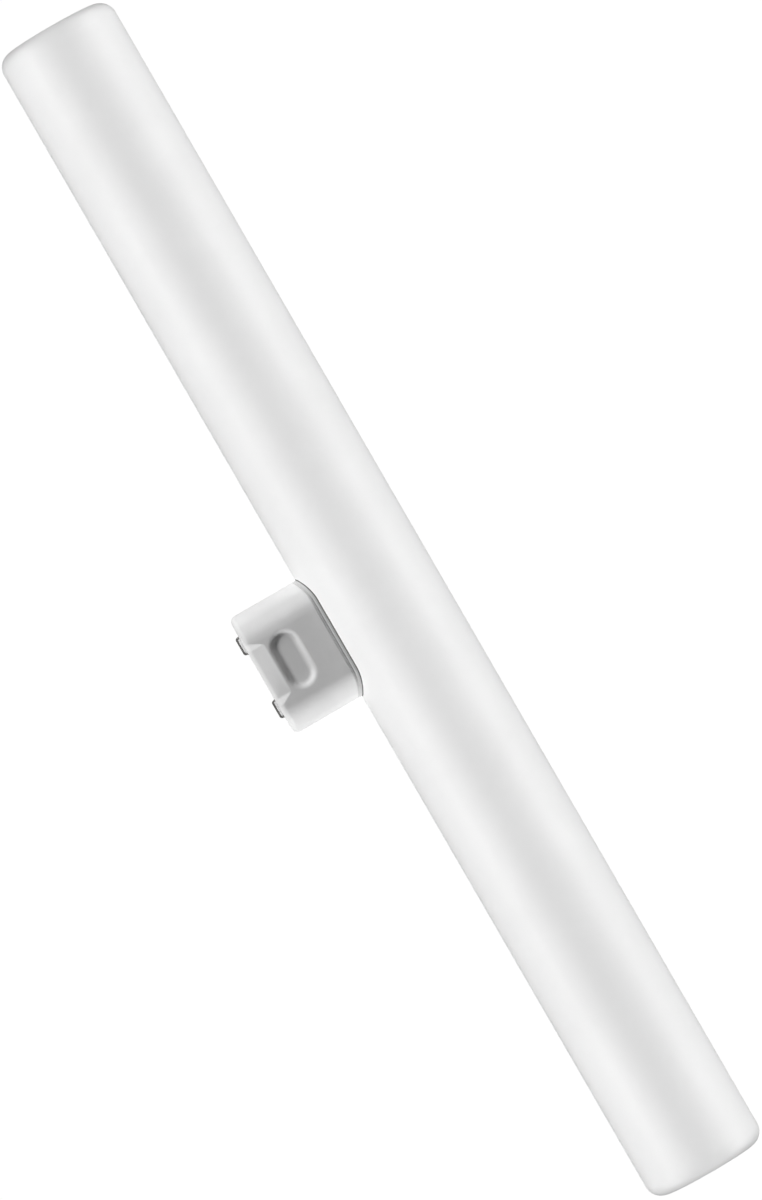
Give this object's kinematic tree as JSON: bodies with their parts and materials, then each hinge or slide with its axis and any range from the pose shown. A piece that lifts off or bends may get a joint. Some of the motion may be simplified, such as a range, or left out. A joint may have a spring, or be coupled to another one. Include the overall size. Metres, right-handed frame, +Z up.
{
  "type": "tubular light bulb",
  "caption": "Straight opal tube with closed, rounded ends and a moulded side cap, whose latch recesses and flat contacts clip the bulb into a lamp holder.",
  "frame": {"origin": "on the floor under the middle of the bulb's box, as it lies on its side", "axes": "+X along the tube, -Y towards the cap's contacts, +Z up from the floor that the tube and the cap's lower edge rest on"},
  "size_m": [0.3, 0.048, 0.0293],
  "materials": {
    "opal_tube": "satin opal white",
    "cap_plastic": "fine moulded white",
    "seam_cement": "matte grey",
    "contact_metal": "plated satin"
  },
  "bodies": {
    "root": {"bulb_tube": "opal_tube", "cap_body": "cap_plastic", "cement_bead": "seam_cement", "contact_left": "contact_metal", "contact_right": "contact_metal"}
  },
  "joints": []
}
